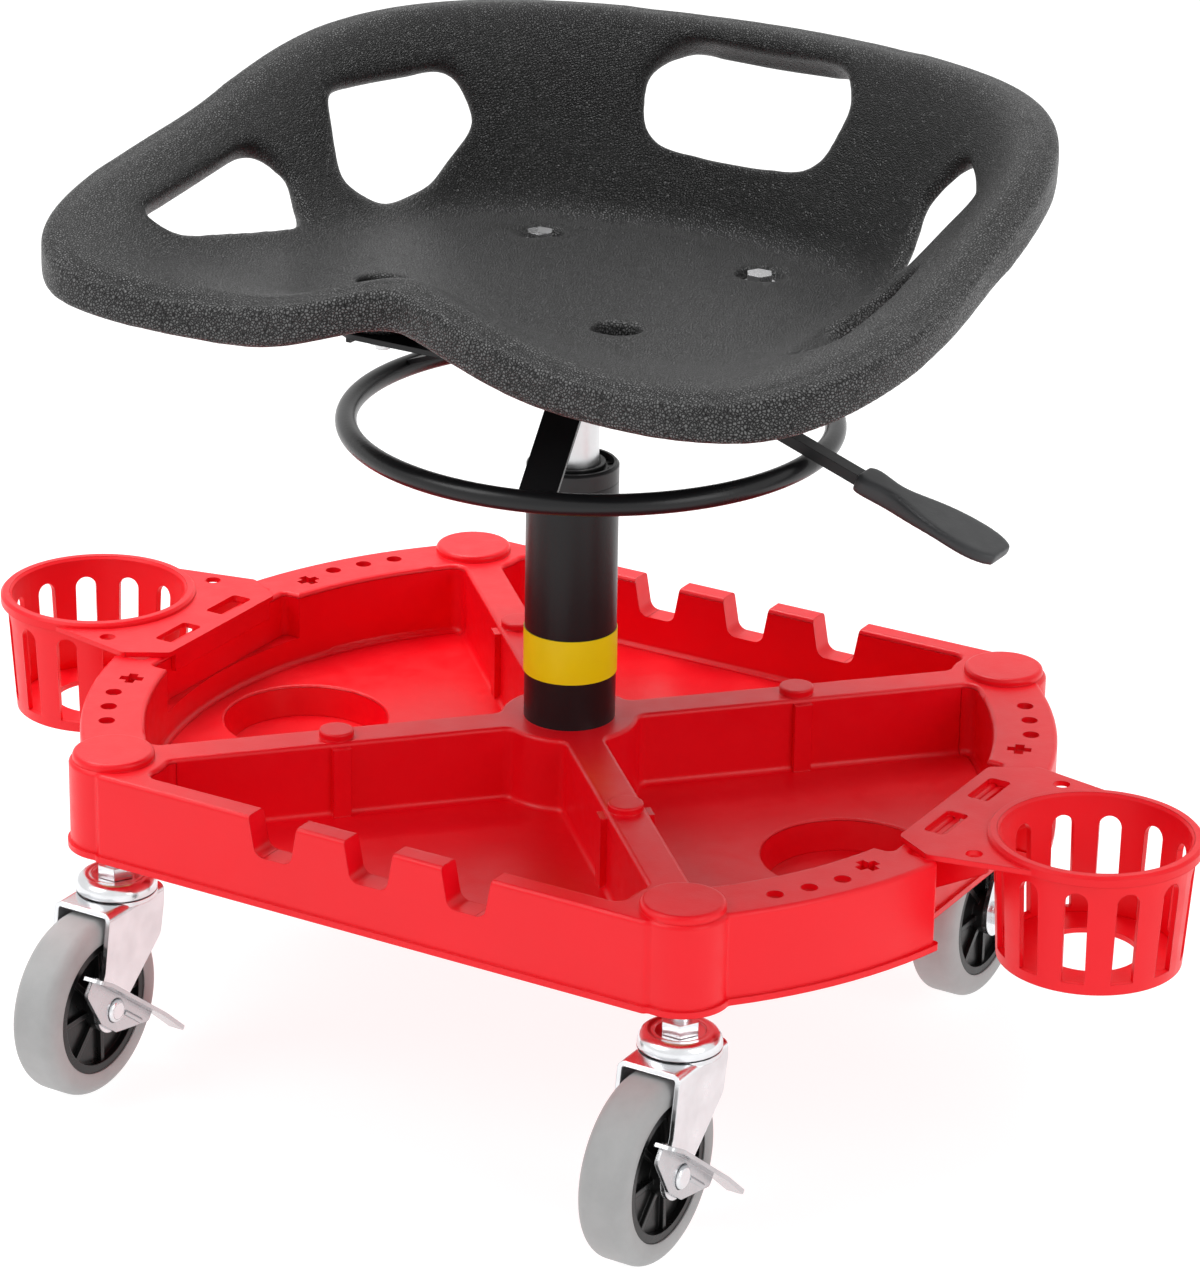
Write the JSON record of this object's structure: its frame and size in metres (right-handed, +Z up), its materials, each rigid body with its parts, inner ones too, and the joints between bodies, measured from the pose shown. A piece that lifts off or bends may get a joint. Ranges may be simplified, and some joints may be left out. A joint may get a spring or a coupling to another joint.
{
  "type": "rolling mechanic's seat",
  "caption": "Tractor-style seat with cut-outs on a gas-lift column with a grab ring, over a tool tray on swivel casters with hook-on cup holders.",
  "frame": {"origin": "on the floor plane, under the axis of the column, at the bottom centre of the bounding box", "axes": "+Z up, -Y the way the seat faces (its notched front), +X to the side of the height lever, through the cup holders"},
  "size_m": [0.744, 0.526, 0.52],
  "materials": {
    "seat_plastic": "pebble grained",
    "tray_plastic": "satin moulded",
    "black_plastic": "satin",
    "grip_plastic": "satin",
    "black_steel": "gloss black powder coat",
    "bright_steel": "zinc plated",
    "chrome_tube": "polished",
    "band_yellow": "printed film",
    "wheel_grey": "matt",
    "brass": "machined"
  },
  "bodies": {
    "base": {"tray": "tray_plastic", "stem_inserts": "brass", "caster_stems": "bright_steel", "caster_stem_nuts": "bright_steel", "caster_head_caps": "bright_steel", "caster_balls": "bright_steel", "column_tube": "black_steel", "column_band": "band_yellow", "column_base_plate": "black_steel", "column_bush": "black_plastic", "thrust_washer_lower": "bright_steel", "thrust_balls": "bright_steel"},
    "rod": {"piston_rod": "chrome_tube", "rod_clip": "bright_steel", "thrust_washer_upper": "bright_steel", "piston": "bright_steel", "piston_seal": "black_plastic"},
    "seat_unit": {"pressure_tube": "chrome_tube", "tube_plug": "black_plastic", "seat_hub": "black_steel", "seat_plate": "black_steel", "lever_pin": "bright_steel", "ring_collar": "black_steel", "ring_straps": "black_steel", "grab_ring": "black_steel", "seat": "seat_plastic", "seat_bolts": "bright_steel", "seat_washers": "bright_steel", "seat_nuts": "bright_steel"},
    "height_lever": {"lever_bar": "black_steel", "lever_grip": "grip_plastic"},
    "valve": {"valve_button": "bright_steel"},
    "left_cup": {"left_cup_holder": "tray_plastic"},
    "right_cup": {"right_cup_holder": "tray_plastic"},
    "left_front_caster": {"left_front_fork": "bright_steel", "left_front_axle_bolt": "bright_steel", "left_front_axle_nut": "bright_steel", "left_front_axle_sleeve": "bright_steel"},
    "left_front_wheel": {"left_front_wheel_core": "black_plastic", "left_front_tread": "wheel_grey"},
    "left_front_brake": {"left_front_brake": "bright_steel"},
    "right_front_caster": {"right_front_fork": "bright_steel", "right_front_axle_bolt": "bright_steel", "right_front_axle_nut": "bright_steel", "right_front_axle_sleeve": "bright_steel"},
    "right_front_wheel": {"right_front_wheel_core": "black_plastic", "right_front_tread": "wheel_grey"},
    "right_front_brake": {"right_front_brake": "bright_steel"},
    "left_rear_caster": {"left_rear_fork": "bright_steel", "left_rear_axle_bolt": "bright_steel", "left_rear_axle_nut": "bright_steel", "left_rear_axle_sleeve": "bright_steel"},
    "left_rear_wheel": {"left_rear_wheel_core": "black_plastic", "left_rear_tread": "wheel_grey"},
    "right_rear_caster": {"right_rear_fork": "bright_steel", "right_rear_axle_bolt": "bright_steel", "right_rear_axle_nut": "bright_steel", "right_rear_axle_sleeve": "bright_steel"},
    "right_rear_wheel": {"right_rear_wheel_core": "black_plastic", "right_rear_tread": "wheel_grey"}
  },
  "joints": [
    {"name": "rod_turn", "type": "hinge", "parent": "base", "child": "rod", "pos_m": [0, 0, 0.104], "axis": [0, 0, 1], "continuous": true},
    {"name": "seat_lift", "type": "slide", "parent": "rod", "child": "seat_unit", "axis": [0, 0, 1], "range_m": [-0.04, 0.08]},
    {"name": "lever_turn", "type": "hinge", "parent": "seat_unit", "child": "height_lever", "pos_m": [0.027, 0, 0.4035], "axis": [0, -1, 0], "range_deg": [0, 4], "stiffness_Nm_per_rad": 1.2, "springref_deg": -8.59},
    {"name": "valve_press", "type": "slide", "parent": "seat_unit", "child": "valve", "axis": [0, 0, -1], "range_m": [0, 0.0022]},
    {"name": "left_cup_lift", "type": "slide", "parent": "base", "child": "left_cup", "axis": [0, 0, 1], "range_m": [0, 0.06]},
    {"name": "right_cup_lift", "type": "slide", "parent": "base", "child": "right_cup", "axis": [0, 0, 1], "range_m": [0, 0.06]},
    {"name": "left_front_swivel", "type": "hinge", "parent": "base", "child": "left_front_caster", "pos_m": [-0.1745, -0.1816, 0.1054], "axis": [0, 0, 1], "continuous": true},
    {"name": "left_front_roll", "type": "hinge", "parent": "left_front_caster", "child": "left_front_wheel", "pos_m": [-0.1745, -0.213, 0.05], "axis": [1, 0, 0], "continuous": true},
    {"name": "left_front_brake_turn", "type": "hinge", "parent": "left_front_caster", "child": "left_front_brake", "pos_m": [-0.1745, -0.213, 0.05], "axis": [1, 0, 0], "range_deg": [-14, 0]},
    {"name": "right_front_swivel", "type": "hinge", "parent": "base", "child": "right_front_caster", "pos_m": [0.1745, -0.1816, 0.1054], "axis": [0, 0, 1], "continuous": true},
    {"name": "right_front_roll", "type": "hinge", "parent": "right_front_caster", "child": "right_front_wheel", "pos_m": [0.1745, -0.213, 0.05], "axis": [1, 0, 0], "continuous": true},
    {"name": "right_front_brake_turn", "type": "hinge", "parent": "right_front_caster", "child": "right_front_brake", "pos_m": [0.1745, -0.213, 0.05], "axis": [1, 0, 0], "range_deg": [-14, 0]},
    {"name": "left_rear_swivel", "type": "hinge", "parent": "base", "child": "left_rear_caster", "pos_m": [-0.1745, 0.1816, 0.1054], "axis": [0, 0, 1], "continuous": true},
    {"name": "left_rear_roll", "type": "hinge", "parent": "left_rear_caster", "child": "left_rear_wheel", "pos_m": [-0.1745, 0.213, 0.05], "axis": [1, 0, 0], "continuous": true},
    {"name": "right_rear_swivel", "type": "hinge", "parent": "base", "child": "right_rear_caster", "pos_m": [0.1745, 0.1816, 0.1054], "axis": [0, 0, 1], "continuous": true},
    {"name": "right_rear_roll", "type": "hinge", "parent": "right_rear_caster", "child": "right_rear_wheel", "pos_m": [0.1745, 0.1502, 0.05], "axis": [1, 0, 0], "continuous": true}
  ],
  "couplings": [
    {"joint": "valve_press", "follows": "lever_turn", "m_per_rad": 0.031}
  ]
}
